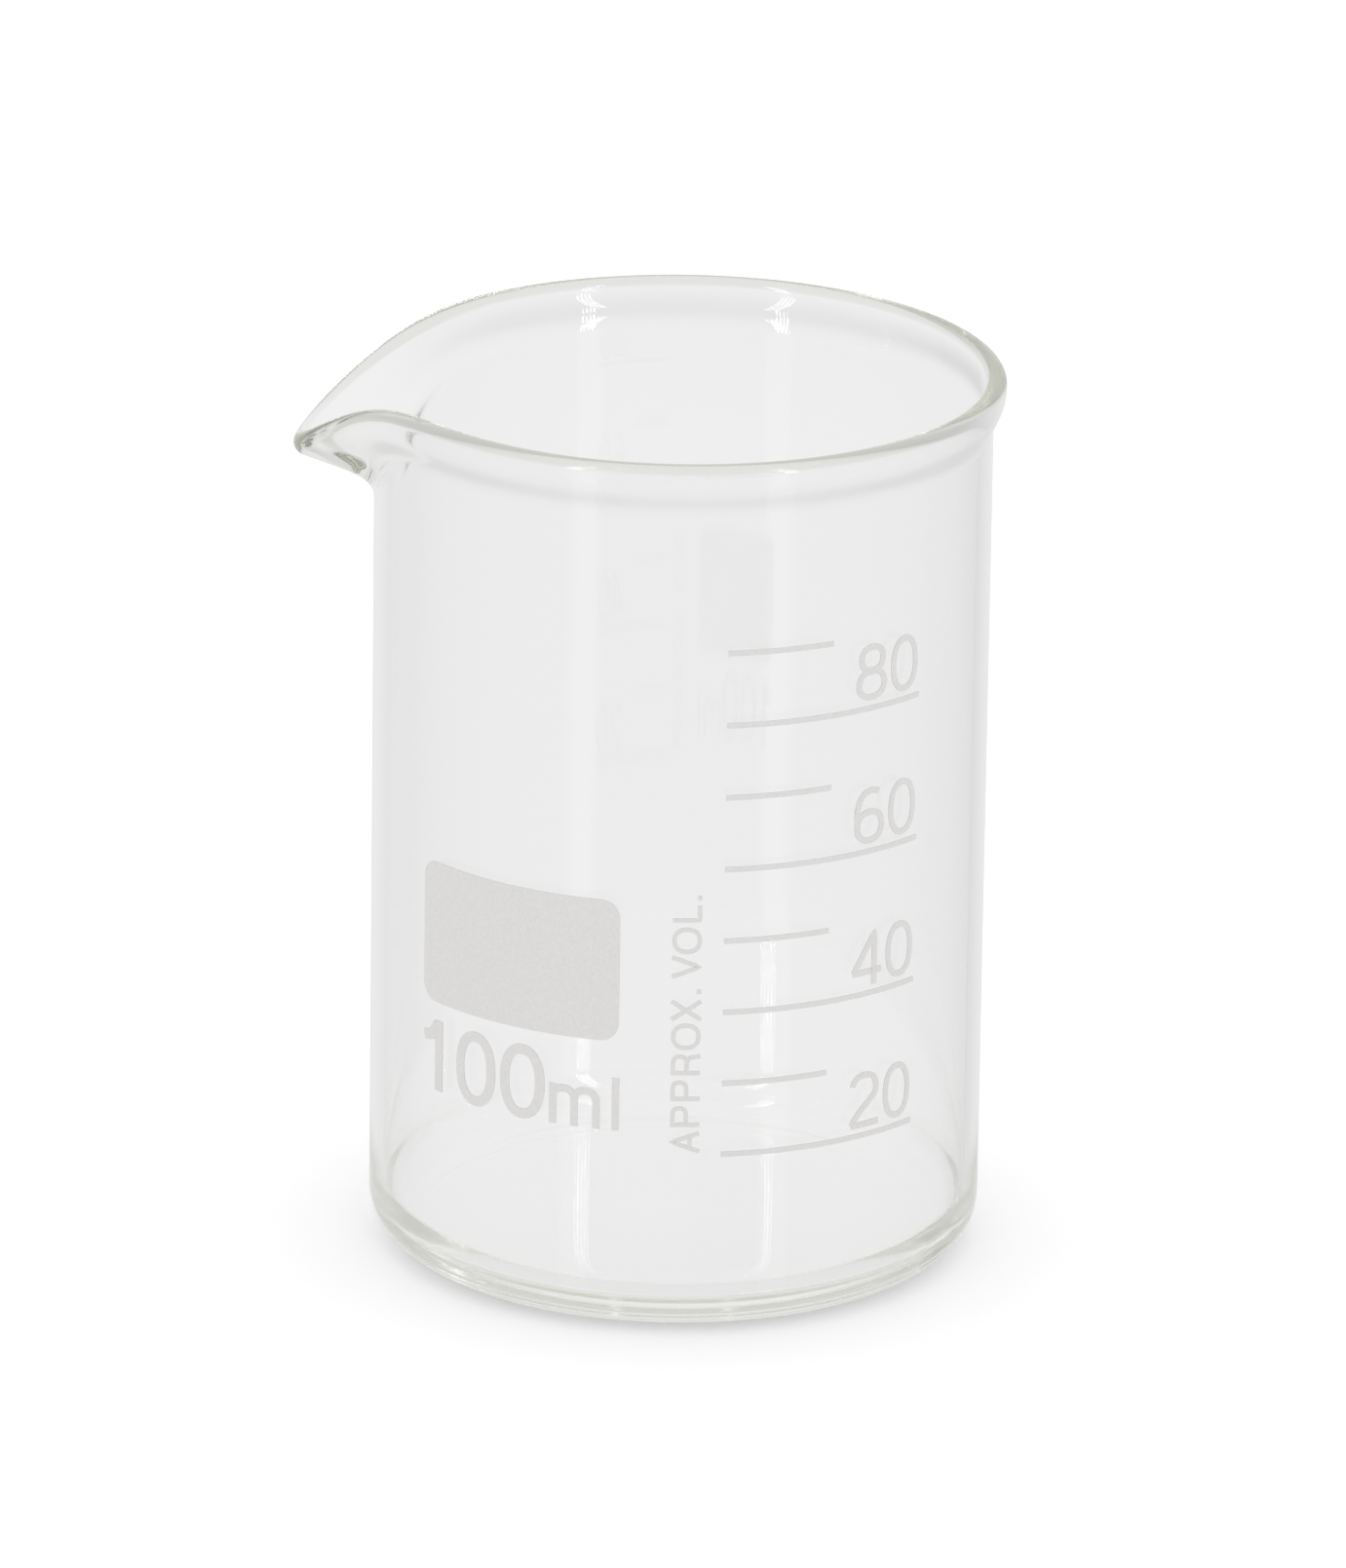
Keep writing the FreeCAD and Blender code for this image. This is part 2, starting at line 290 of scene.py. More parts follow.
def rim_outline(glass, angle):
    """The flare's outside, the bead's crown and the flare's inside, at this angle from the spout's tip."""
    share = exp(-(angle / glass.spout_spread) ** 2)
    bead = blend(glass.bead, glass.tip_bead, share)
    bead_level = glass.height - glass.bead
    middle = (
        glass.body_radius - glass.wall / 2 + glass.rim_flare + glass.spout_reach * share,
        bead_level - glass.spout_drop * share ** DROP_POWER,
    )
    straight_end = bead_level - blend(glass.flare_height, glass.spout_depth, share)
    slope = blend(pi / 2, glass.spout_slope, share)
    low_pull = blend(LOW_PULL, SPOUT_LOW_PULL, share)

    def flare(wall_radius, side):
        """The curve from the straight wall to the bead, outside (side 1) or inside (side -1)."""
        low = (wall_radius, straight_end)
        high = (middle[0] + side * bead * sin(slope), middle[1] - side * bead * cos(slope))
        length = ((high[0] - low[0]) ** 2 + (high[1] - low[1]) ** 2) ** 0.5
        return bezier([
            low,
            (low[0], low[1] + low_pull * length),
            (high[0] - HIGH_PULL * length * cos(slope), high[1] - HIGH_PULL * length * sin(slope)),
            high,
        ], FLARE_STEPS)

    outer = flare(glass.body_radius, 1)
    crown = arc(middle, bead, slope - pi / 2, slope + pi / 2, CROWN_STEPS)
    inner = flare(glass.body_radius - glass.wall, -1)
    return outer, crown[1:-1], inner[::-1]


def wall_outline(glass, angle):
    """The whole upright section at this angle, from the middle of the underside to the middle of the floor.

    With it comes how strongly each point gets the painted shade of the bead's upper side.
    """
    outside = glass.body_radius
    inside = outside - glass.wall
    heel = glass.heel
    inner_heel = glass.inner_heel
    outer_flare, crown, inner_flare = rim_outline(glass, angle)
    foot = line((0, 0), (outside - heel, 0), FLOOR_STEPS)
    heel_arc = arc((outside - heel, heel), heel, -pi / 2, 0, HEEL_STEPS)
    outer = line((outside, heel), outer_flare[0], WALL_STEPS)
    inner = line(inner_flare[-1], (inside, glass.base + inner_heel), WALL_STEPS)
    inner_arc = arc((inside - inner_heel, glass.base + inner_heel), inner_heel, 0, -pi / 2, INNER_HEEL_STEPS)
    floor = line((inside - inner_heel, glass.base), (0, glass.base), FLOOR_STEPS)
    before = foot[:-1] + heel_arc + outer[1:-1] + outer_flare
    after = inner_flare + inner[1:-1] + inner_arc + floor[1:]
    bead_middle = (outer_flare[-1][1] + inner_flare[0][1]) / 2
    # The bead's painted shade: weaker at the spout's tip, and growing up the crown
    strength = 1 - BEAD_SHADE_TIP_LOSS * exp(-(2 * angle / glass.spout_spread) ** 2)
    upper = [
        strength * min(1, max(0, (height - bead_middle) / glass.bead - BEAD_SHADE_START) / BEAD_SHADE_FADE)
        for radius, height in crown
    ]
    return before + crown + after, [0] * len(before) + upper + [0] * len(after)


def glass_mesh(glass):
    """Vertices, faces and strengths of the bead's painted shade: one closed skin, with a vertex amid the foot
    and the floor.
    """
    vertices = [(0, 0, 0), (0, 0, glass.base)]
    shares = [0, 0]
    for step in range(GLASS_STEPS):
        angle = 2 * pi * step / GLASS_STEPS - pi
        section, upper = wall_outline(glass, angle)
        vertices += [(-radius * cos(angle), radius * sin(angle), height) for radius, height in section[1:-1]]
        shares += upper[1:-1]
    rows = len(section) - 2
    faces = []
    for step in range(GLASS_STEPS):
        near = 2 + step * rows
        far = 2 + (step + 1) % GLASS_STEPS * rows
        faces.append((0, near, far))
        faces.append((1, far + rows - 1, near + rows - 1))
        faces += [(near + row, near + row + 1, far + row + 1, far + row) for row in range(rows - 1)]
    return vertices, faces, shares


def borosilicate_glass(tint):
    """Borosilicate glass, blown and fire polished: clear, but faintly green where light runs far in it, with
    painted shade on the bead's upper side and a faint painted glow.
    """
    material, tree = new_material("blown_borosilicate_glass")
    # Painted shade: the bead's upper side gets a darker, greener base colour, standing in for light that has
    # run along inside the wall and taken on more of the glass's own colour
    bead = add_node(tree, "ShaderNodeAttribute", {"attribute_name": "bead_painted_shade"})
    colour = add_node(tree, "ShaderNodeMix", {"data_type": "RGBA", 6: linear("FFFFFF"), 7: linear("E4E5DF")},
                      {"Factor": bead.outputs["Fac"]})
    surface = add_node(tree, "ShaderNodeBsdfPrincipled", {
        "Roughness": 0.0, "IOR": 1.473, "Transmission Weight": 1.0,
    }, {"Base Color": colour.outputs[2]})
    depth = add_node(tree, "ShaderNodeVolumeAbsorption", {"Color": (*tint, 1), "Density": 4.0})
    # Painted light: the glass glows faintly all through, standing in for light that stays long in it and
    # leaves it in the end, so the spout's tip isn't black
    painted_glow = add_node(tree, "ShaderNodeEmission", {"Color": linear("E4E5DF"), "Strength": 0.5})
    body = add_node(tree, "ShaderNodeAddShader", None, {0: depth.outputs["Volume"], 1: painted_glow.outputs[0]})
    add_node(tree, "ShaderNodeOutputMaterial", None,
             {"Surface": surface.outputs["BSDF"], "Volume": body.outputs["Shader"]})
    return material


class BEAKER_OT_glass(bpy.types.Operator):
    """Builds the blown glass: bowl, beaded rim and drawn spout in one closed skin"""
    bl_idname = "beaker.glass"
    bl_label = "Build glass"

    def execute(self, context):
        glass = context.scene.beaker_glass
        vertices, faces, shares = glass_mesh(glass)
        piece = new_object("glass_beaker", vertices, faces, borosilicate_glass(glass.tint))
        # Each vertex carries the strength of the bead's painted shade
        bead_painted_shade = piece.data.attributes.new("bead_painted_shade", "FLOAT", "POINT")
        bead_painted_shade.data.foreach_set("value", shares)
        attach(piece, "root")
        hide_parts("beaker")
        return {"FINISHED"}


# Print

# The enamel's inner face stands off the glass by this share of its thickness
GAP = 0.1

# Strokes that cross differ in thickness by this share, so that their faces don't coincide
LAYER = 0.06

# Longest step along a stroke, short enough to follow the wall
PATH_STEP = 0.35 * MM

# A power below 1 gives the ovals fuller shoulders than an ellipse has
OVAL_POWER = 0.88

# The scale: its lines and what they stand for in ml
MARKS = 8
FIRST_VOLUME = 20
VOLUME_STEP = 10

# A number's stroke, its height over its line, and, in its own heights, its signs' pitch and its start
# before the line's right end
NUMBER_STROKE = 0.52 * MM
NUMBER_RISE = 0.65 * MM
NUMBER_PITCH = 0.74
NUMBER_START = 1.43

# The large volume: its baseline under the panel's lower edge, and each sign's start and stroke in mm
VOLUME_DROP = 7.4 * MM
VOLUME_SIGNS = (("1", 0.1, 0.9), ("0", 4.13, 0.85), ("0", 8.63, 0.85), ("m", 12.9, 0.62), ("l", 18.1, 0.6))

# The upright note: its signs, each one's start in mm, and their stroke
NOTE_SIGNS = "APPROX.VOL."
NOTE_STARTS = (0, 2.2, 4.35, 6.5, 8.6, 10.95, 13.25, 14.5, 16.55, 19.15, 21.0)
NOTE_STROKE = 0.36 * MM

# Columns of the writing panel, closer together at its rounded ends
PANEL_COLUMNS = 48


def on_wall(glass, along, up, lift):
    """A point of the print: along is the length round the wall from the front, lift is out from the glass."""
    angle = along / glass.body_radius
    radius = glass.body_radius + lift
    return radius * sin(angle), -radius * cos(angle), up


def oval(middle, half_width, half_height, start=0, end=360, steps=40):
    """Points of an upright oval with full sides, as drawn numbers have, counter-clockwise in degrees."""
    points = []
    for step in range(steps + 1):
        angle = radians(start + (end - start) * step / steps)
        x, y = cos(angle), sin(angle)
        points.append((
            middle[0] + half_width * abs(x) ** OVAL_POWER * (1 if x >= 0 else -1),
            middle[1] + half_height * abs(y) ** OVAL_POWER * (1 if y >= 0 else -1),
        ))
    return points


def sign_paths():
    """The middle lines of each sign's strokes, in units of a sign's height."""
    round_top = [(0.078, 0.922)] + oval((0.42, 0.692), 0.25, 0.23, 90, -90, 14) + [(0.078, 0.462)]
    return {
        "0": [oval((0.32, 0.5), 0.265, 0.445)],
        "1": [[(0.31, 0.0), (0.31, 0.985)], [(0.0, 0.72), (0.16, 0.76), (0.27, 0.92)]],
        "2": [oval((0.32, 0.70), 0.255, 0.245, 168, -28, 24)
              + [(0.40, 0.44), (0.20, 0.27), (0.09, 0.13), (0.055, 0.055)],
              [(0.055, 0.055), (0.63, 0.055)]],
        "4": [[(0.48, 0.0), (0.48, 0.94), (0.055, 0.28), (0.055, 0.25), (0.64, 0.25)]],
        "6": [oval((0.325, 0.31), 0.26, 0.255), oval((0.36, 0.50), 0.30, 0.445, 62, 200, 20)],
        "8": [oval((0.325, 0.735), 0.225, 0.21), oval((0.32, 0.285), 0.265, 0.23)],
        "m": [[(0.06, 0.0), (0.06, 0.56)],
              oval((0.21, 0.36), 0.15, 0.15, 170, 0, 12) + [(0.36, 0.0)],
              oval((0.51, 0.36), 0.15, 0.15, 170, 0, 12) + [(0.66, 0.0)]],
        "l": [[(0.05, 0.0), (0.05, 0.73)]],
        "A": [[(0.07, 0.0), (0.40, 0.94), (0.73, 0.0)], [(0.17, 0.32), (0.63, 0.32)]],
        "P": [[(0.078, 0.0), (0.078, 1.0)], round_top],
        "R": [[(0.078, 0.0), (0.078, 1.0)], round_top,
              [(0.45, 0.46), (0.61, 0.38), (0.66, 0.2), (0.69, 0.0)]],
        "O": [oval((0.475, 0.5), 0.40, 0.43)],
        "X": [[(0.07, 0.0), (0.73, 1.0)], [(0.07, 1.0), (0.73, 0.0)]],
        "V": [[(0.07, 1.0), (0.42, 0.06), (0.77, 1.0)]],
        "L": [[(0.078, 1.0), (0.078, 0.078), (0.60, 0.078)]],
        ".": [[(0.0, 0.078), (0.157, 0.078)]],
    }


def ribbon(path, stroke, closed):
    """Left and right edge of a stroke of even width along a path."""
    count = len(path)
    edges = []
    for place in range(count):
        before = path[place - 1] if place or closed else path[place]
        after = path[(place + 1) % count] if place < count - 1 or closed else path[place]
        run = Vector((after[0] - before[0], after[1] - before[1]))
        run.normalize()
        side = Vector((-run.y, run.x)) * stroke / 2
        here = Vector(path[place])
        edges.append((here + side, here - side))
    return edges


def stroke_mesh(glass, thickness, path, stroke):
    """Vertices and faces of one enamel stroke, bent round the wall, as a thin closed strip."""
    closed = (Vector(path[0]) - Vector(path[-1])).length < 1e-7
    points = path[:-1] if closed else path
    edges = ribbon(points, stroke, closed)
    vertices = []
    for left, right in edges:
        for along, up in (left, right):
            vertices.append(on_wall(glass, along, up, GAP * thickness))
            vertices.append(on_wall(glass, along, up, thickness))
    faces = []
    count = len(edges)
    for place in range(count if closed else count - 1):
        a, b = 4 * place, 4 * ((place + 1) % count)
        faces += [
            (a + 1, a + 3, b + 3, b + 1), (a, b, b + 2, a + 2),
            (a, a + 1, b + 1, b), (a + 2, b + 2, b + 3, a + 3),
        ]
    if not closed:
        last = 4 * (count - 1)
        faces += [(0, 2, 3, 1), (last, last + 1, last + 3, last + 2)]
    return vertices, faces


def join_strokes(strokes):
    """One list of vertices and one of faces from those of many strokes."""
    vertices, faces = [], []
    for stroke_vertices, stroke_faces in strokes:
        start = len(vertices)
        vertices += stroke_vertices
        faces += [tuple(start + corner for corner in face) for face in stroke_faces]
    return vertices, faces


def straight_path(start, end):
    """A straight path cut fine enough to follow the wall."""
    steps = max(1, round((Vector(end) - Vector(start)).length / PATH_STEP))
    return line(start, end, steps)


def fine_path(points):
    """The same path with points between those that stand far apart."""
    fine = [points[0]]
    for start, end in zip(points, points[1:]):
        fine += straight_path(start, end)[1:]
    return fine


def written(glass, thickness, text, left, bottom, height, stroke, pitch=0):
    """The strokes of a number, each sign pitch times its height further right."""
    paths = sign_paths()
    strokes = []
    for place, sign in enumerate(text):
        for layer, path in enumerate(paths[sign]):
            points = [(left + (place * pitch + x) * height, bottom + y * height) for x, y in path]
            strokes.append(stroke_mesh(glass, thickness * (1 + LAYER * layer), fine_path(points), stroke))
    return strokes


def written_upward(glass, thickness, text, baseline, bottom, height, stroke, starts):
    """The strokes of signs that run up the wall, each from its own start above the bottom."""
    paths = sign_paths()
    strokes = []
    for sign, start in zip(text, starts):
        for layer, path in enumerate(paths[sign]):
            points = [(baseline - y * height, bottom + start + x * height) for x, y in path]
            strokes.append(stroke_mesh(glass, thickness * (1 + LAYER * layer), fine_path(points), stroke))
    return strokes


def panel_mesh(glass, sizes):
    """The writing panel as upright columns bent round the wall, with rounded corners and a closed edge."""
    half_width = sizes.panel_width / 2
    half_height = sizes.panel_height / 2
    corner = sizes.panel_corner
    middle = (sizes.panel_middle, sizes.panel_bottom + half_height)
    vertices = []
    for column in range(PANEL_COLUMNS + 1):
        along = -half_width * cos(pi * column / PANEL_COLUMNS)
        inset = max(0, abs(along) - (half_width - corner))
        reach = half_height - corner + (max(0, corner ** 2 - inset ** 2)) ** 0.5
        for up in (-reach, reach):
            for lift in (GAP * sizes.thickness, sizes.thickness):
                vertices.append(on_wall(glass, middle[0] + along, middle[1] + up, lift))
    last = 4 * PANEL_COLUMNS
    faces = [(0, 1, 3, 2), (last, last + 2, last + 3, last + 1)]
    for column in range(PANEL_COLUMNS):
        a, b = 4 * column, 4 * (column + 1)
        faces += [
            (a + 1, b + 1, b + 3, a + 3), (a, a + 2, b + 2, b),
            (a, b, b + 1, a + 1), (a + 2, a + 3, b + 3, b + 2),
        ]
    return vertices, faces


def white_enamel(colour):
    """Ceramic enamel, screen printed and fired on: satin, pale grey, with the screen's fine speckle in it."""
    material, tree = new_material("fired_white_enamel")
    where = add_node(tree, "ShaderNodeTexCoord")
    # The screen leaves grains of about 0.25 mm
    grain = add_node(tree, "ShaderNodeTexNoise", {"Scale": 1 / (0.25 * MM), "Detail": 2.0},
                     {"Vector": where.outputs["Object"]})
    darker = [value * 0.90 for value in colour] + [1]
    lighter = [min(1, value * 1.06) for value in colour] + [1]
    speckled = add_node(tree, "ShaderNodeMix", {"data_type": "RGBA", 6: darker, 7: lighter},
                        {"Factor": grain.outputs["Fac"]})
    bump = add_node(tree, "ShaderNodeBump", {"Strength": 0.25, "Distance": 0.02 * MM},
                    {"Height": grain.outputs["Fac"]})
    surface = add_node(tree, "ShaderNodeBsdfPrincipled", {"Roughness": 0.42},
                       {"Base Color": speckled.outputs[2], "Normal": bump.outputs["Normal"]})
    add_node(tree, "ShaderNodeOutputMaterial", None, {"Surface": surface.outputs["BSDF"]})
    return material


def enamel_material(context):
    """The one enamel of all the print."""
    found = bpy.data.materials.get("fired_white_enamel")
    return found or white_enamel(context.scene.beaker_print.enamel)


class BEAKER_OT_scale(bpy.types.Operator):
    """Prints the lines of the scale and its numbers"""
    bl_idname = "beaker.scale"
    bl_label = "Print scale"

    def execute(self, context):
        glass = context.scene.beaker_glass
        sizes = context.scene.beaker_print
        enamel = enamel_material(context)
        lines = []
        numbers = []
        for mark in range(MARKS):
            height = sizes.first_mark + mark * sizes.mark_step
            length = sizes.short_mark if mark % 2 else sizes.long_mark
            path = straight_path((sizes.mark_start, height), (sizes.mark_start + length, height))
            lines.append(stroke_mesh(glass, sizes.thickness, path, sizes.stroke))
            if mark % 2 == 0:
                left = sizes.mark_start + sizes.long_mark - NUMBER_START * sizes.number_height
                numbers += written(glass, sizes.thickness, str(FIRST_VOLUME + VOLUME_STEP * mark), left,
                                   height + NUMBER_RISE, sizes.number_height, NUMBER_STROKE, NUMBER_PITCH)
        marks = new_object("enamel_lines", *join_strokes(lines), enamel, smooth=False)
        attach(marks, "root")
        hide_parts("graduation_marks")
        figures = new_object("enamel_numbers", *join_strokes(numbers), enamel, smooth=False)
        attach(figures, "root")
        return {"FINISHED"}


class BEAKER_OT_panel(bpy.types.Operator):
    """Prints the writing panel, the large volume number under it and the note beside it"""
    bl_idname = "beaker.panel"
    bl_label = "Print panel"

    def execute(self, context):
        glass = context.scene.beaker_glass
        sizes = context.scene.beaker_print
        enamel = enamel_material(context)
        panel = new_object("enamel_panel", *panel_mesh(glass, sizes), enamel, smooth=False)
        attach(panel, "root")
        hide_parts("writing_panel")
        left = sizes.panel_middle - sizes.panel_width / 2
        baseline = sizes.panel_bottom - VOLUME_DROP
        strokes = []
        for sign, start, stroke in VOLUME_SIGNS:
            strokes += written(glass, sizes.thickness, sign, left + start * MM, baseline,
                               sizes.volume_height, stroke * MM)
        volume = new_object("enamel_volume", *join_strokes(strokes), enamel, smooth=False)
        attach(volume, "root")
        note = written_upward(glass, sizes.thickness, NOTE_SIGNS, sizes.note_baseline, sizes.note_bottom,
                              sizes.note_height, NOTE_STROKE, [start * MM for start in NOTE_STARTS])
        upright = new_object("enamel_note", *join_strokes(note), enamel, smooth=False)
        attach(upright, "root")
        return {"FINISHED"}


# Stage

# Level directions: away from the camera, to the camera's right, and to the room's bright end
AWAY = (-0.144, 0.99, 0)
ASIDE = (0.99, 0.144, 0)
BRIGHT_END = (-0.242, 0.97, 0)

# What a reflection sees of the room's walls, from the dim end (0) to the bright end (1)
ROOM_WALLS = ((0.0, 0.55), (0.5, 0.58), (0.8, 0.63), (1.0, 0.87))

# Shares of seen_through on the backdrop, from straight down (0) past the horizon (0.5) to straight up (1)
BACKDROP = ((0.45, 0.82), (0.5, 0.8), (0.65, 0.72), (1.0, 0.7))

# Shares of seen_through in the table's painted pool of light and shade, and where they start and end, in
# metres away from the beaker
POOL = ((0.0, 0.93), (0.047, 0.95), (0.0625, 1), (0.19, 1), (0.25, 0.97), (0.36, 0.86), (1.0, 0.82))
POOL_START = -0.1
POOL_END = 1.5

# The table reaches this far from the beaker to each side, and lies a hair under its foot
TABLE_REACH = 1.5
TABLE_GAP = 0.02 * MM

# A group of upright tubes, in metres above the table, and the broad strip light below it
TUBES = 4
TUBE_STEP = radians(1.5)
TUBE_WIDTH = 0.008
TUBE_HEIGHTS = (0.10, 0.9)
LOW_STRIP_WIDTH = 0.15
LOW_STRIP_HEIGHTS = (-0.6, 0.0)
STRIP_DISTANCE = 0.8

# Light runs round many times inside the bead and the heel before it leaves
BOUNCES = 256

SENSOR_MM = 36


def photo_camera(studio):
    """The camera's pose: where the photograph was taken from, with its roll and its aim beside the centre."""
    turn = Matrix.Rotation(studio.azimuth, 3, "Z")
    elevation = studio.elevation
    back = turn @ Vector((0, -cos(elevation), sin(elevation)))
    right = turn @ Vector((1, 0, 0))
    up = turn @ Vector((0, sin(elevation), cos(elevation)))
    rolled_right = right * cos(studio.roll) + up * sin(studio.roll)
    rolled_up = up * cos(studio.roll) - right * sin(studio.roll)
    place = Vector((0, 0, studio.aim_height)) + back * studio.distance
    aim = back * FRAME_FOCAL + rolled_right * FRAME_OFFSET[0] - rolled_up * FRAME_OFFSET[1]
    z_axis = aim.normalized()
    x_axis = (rolled_right - z_axis * rolled_right.dot(z_axis)).normalized()
    y_axis = z_axis.cross(x_axis)
    pose = Matrix((x_axis, y_axis, z_axis)).transposed().to_4x4()
    pose.translation = place
    return pose


def studio_world(seen_through):
    """White to the camera, a grey backdrop through the glass, and a pale room in its reflections."""
    world = bpy.data.worlds.new("studio")
    bpy.context.scene.world = world
    world.use_nodes = True
    tree = world.node_tree
    tree.nodes.clear()
    path = add_node(tree, "ShaderNodeLightPath")
    where = add_node(tree, "ShaderNodeTexCoord")
    behind = add_node(tree, "ShaderNodeVectorMath", {"operation": "DOT_PRODUCT", 1: BRIGHT_END},
                      {0: where.outputs["Generated"]})
    share = add_node(tree, "ShaderNodeMapRange", {"From Min": -1.0, "From Max": 1.0},
                     {"Value": behind.outputs["Value"]})
    walls = add_node(tree, "ShaderNodeValToRGB", None, {"Fac": share.outputs["Result"]}, ROOM_WALLS)
    height = add_node(tree, "ShaderNodeSeparateXYZ", None, {0: where.outputs["Generated"]})
    rise = add_node(tree, "ShaderNodeMapRange", {"From Min": -1.0, "From Max": 1.0},
                    {"Value": height.outputs["Z"]})
    backdrop = add_node(tree, "ShaderNodeValToRGB", None, {"Fac": rise.outputs["Result"]},
                        [(place, level * seen_through) for place, level in BACKDROP])
    # The room's ceiling and floor are lighter than most of its walls
    upward = add_node(tree, "ShaderNodeValToRGB", None, {"Fac": rise.outputs["Result"]},
                      [(0.7, 0), (0.88, 1)])
    downward = add_node(tree, "ShaderNodeValToRGB", None, {"Fac": rise.outputs["Result"]},
                        [(0.1, 1), (0.3, 0)])
    under_ceiling = add_node(tree, "ShaderNodeMix", {"data_type": "RGBA", 7: linear("E9E9E9")},
                             {"Factor": upward.outputs["Color"], 6: walls.outputs["Color"]})
    room = add_node(tree, "ShaderNodeMix", {"data_type": "RGBA", 7: linear("D2D3CD")},
                    {"Factor": downward.outputs["Color"], 6: under_ceiling.outputs[2]})
    reflected = add_node(tree, "ShaderNodeMath", {"operation": "GREATER_THAN", 1: 0.5},
                         {0: path.outputs["Glossy Depth"]})
    through = add_node(tree, "ShaderNodeMix", {"data_type": "RGBA", 6: linear("FFFFFF")},
                       {"Factor": path.outputs["Is Transmission Ray"], 7: backdrop.outputs["Color"]})
    colour = add_node(tree, "ShaderNodeMix", {"data_type": "RGBA"}, {
        "Factor": reflected.outputs["Value"], 6: through.outputs[2], 7: room.outputs[2]})
    light = add_node(tree, "ShaderNodeBackground", {"Strength": 1.0}, {"Color": colour.outputs[2]})
    add_node(tree, "ShaderNodeOutputWorld", None, {"Surface": light.outputs["Background"]})


def table_material(seen_through):
    """Matt white laminate: it shows the beaker's shadow; where glass is before it, it glows as a painted pool
    of light with painted shade toward the front, and reflections see a painted glow under the foot.
    """
    material, tree = new_material("matt_white_table")
    path = add_node(tree, "ShaderNodeLightPath")
    matt = add_node(tree, "ShaderNodeBsdfDiffuse", {"Color": linear("EDEDED")})
    glow = add_node(tree, "ShaderNodeEmission", {"Color": linear("FFFFFF"), "Strength": 0.31})
    bare = add_node(tree, "ShaderNodeAddShader", None, {0: matt.outputs[0], 1: glow.outputs[0]})
    # Painted light and shade: the pool is brightest from the beaker to 0.2 m behind it, and darker toward the
    # beaker's front
    where = add_node(tree, "ShaderNodeTexCoord")
    depth = add_node(tree, "ShaderNodeVectorMath", {"operation": "DOT_PRODUCT", 1: AWAY},
                     {0: where.outputs["Object"]})
    share = add_node(tree, "ShaderNodeMapRange", {"From Min": POOL_START, "From Max": POOL_END},
                     {"Value": depth.outputs["Value"]})
    pool = add_node(tree, "ShaderNodeValToRGB", None, {"Fac": share.outputs["Result"]},
                    [(place, level * seen_through) for place, level in POOL])
    # It falls off from 50 to 150 mm on either side
    aside = add_node(tree, "ShaderNodeVectorMath", {"operation": "DOT_PRODUCT", 1: ASIDE},
                     {0: where.outputs["Object"]})
    far_aside = add_node(tree, "ShaderNodeMath", {"operation": "ABSOLUTE"}, {0: aside.outputs["Value"]})
    fall = add_node(tree, "ShaderNodeMapRange", {
        "From Min": 0.05, "From Max": 0.15, "To Min": 1.0, "To Max": 0.88,
    }, {"Value": far_aside.outputs["Value"]})
    # Painted light: where glass is before it, the table glows with the pool instead of being lit
    painted_pool_glow = add_node(tree, "ShaderNodeEmission", None, {
        "Color": pool.outputs["Color"], "Strength": fall.outputs["Result"]})
    seen = add_node(tree, "ShaderNodeMixShader", None, {
        0: path.outputs["Is Transmission Ray"], 1: bare.outputs[0], 2: painted_pool_glow.outputs[0]})
    # Painted light: a reflection sees a painted glow on the table under the beaker's foot, standing in for
    # the table's light there, and the room past it
    clear = add_node(tree, "ShaderNodeBsdfTransparent")
    out = add_node(tree, "ShaderNodeVectorMath", {"operation": "LENGTH"}, {0: where.outputs["Object"]})
    foot = add_node(tree, "ShaderNodeMapRange", {"From Min": 24 * MM, "From Max": 26 * MM},
                    {"Value": out.outputs["Value"]})
    painted_foot_glow = add_node(tree, "ShaderNodeEmission", {"Color": linear("E7E7E7"), "Strength": 1.0})
    mirrored = add_node(tree, "ShaderNodeMixShader", None,
                        {0: foot.outputs["Result"], 1: painted_foot_glow.outputs[0], 2: clear.outputs[0]})
    reflected = add_node(tree, "ShaderNodeMath", {"operation": "GREATER_THAN", 1: 0.5},
                         {0: path.outputs["Glossy Depth"]})
    surface = add_node(tree, "ShaderNodeMixShader", None,
                       {0: reflected.outputs["Value"], 1: seen.outputs[0], 2: mirrored.outputs[0]})
    add_node(tree, "ShaderNodeOutputMaterial", None, {"Surface": surface.outputs["Shader"]})
    return material


def strip_light(name, direction, heights, width, strength):
    """An upright strip light that stands in this direction from the beaker and faces it."""
    low, high = heights
    lamp = bpy.data.lights.new(name, "AREA")
    lamp.shape = "RECTANGLE"
    lamp.size = width
    lamp.size_y = high - low
    # The power follows the area, so strips of any size are equally bright at one strength
    lamp.energy = strength * pi * width * (high - low)
    strip = bpy.data.objects.new(name, lamp)
    bpy.context.scene.collection.objects.link(strip)
    place = Vector((STRIP_DISTANCE * cos(direction), STRIP_DISTANCE * sin(direction), (low + high) / 2))
    facing = Vector((cos(direction), sin(direction), 0))
    strip.matrix_world = Matrix.Translation(place) @ facing.to_track_quat("Z", "Y").to_matrix().to_4x4()
    # It shows in the glass, and adds no light to matt surfaces
    strip.visible_diffuse = False


